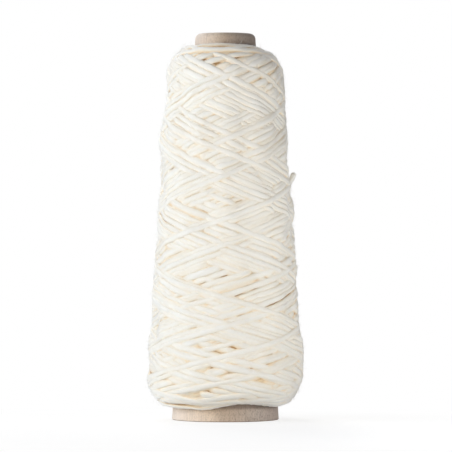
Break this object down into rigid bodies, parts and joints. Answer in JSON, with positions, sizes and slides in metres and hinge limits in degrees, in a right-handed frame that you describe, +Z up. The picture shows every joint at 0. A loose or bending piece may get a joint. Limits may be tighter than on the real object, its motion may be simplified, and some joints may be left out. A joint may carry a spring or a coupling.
{
  "type": "yarn cone",
  "caption": "Tall tapered paper cone carrying a thick cross-wound pack of soft single yarn, with bare paper at both ends and one loose yarn end.",
  "frame": {"origin": "middle of the base rim's lower face, on the surface that the cone stands on", "axes": "+Z up along the cone's axis, from the base rim to the nose; the front is towards -Y and the loose end is at +X"},
  "size_m": [0.1184, 0.1184, 0.29],
  "materials": {
    "board": "cut grey board, matte",
    "surface_paper": "matte smooth board paper",
    "yarn": "undyed soft-spun yarn"
  },
  "bodies": {
    "root": {"board_cone": "board", "surface_ply": "surface_paper", "hidden_layers": "yarn", "outer_layer": "yarn", "loose_end": "yarn"}
  },
  "joints": []
}
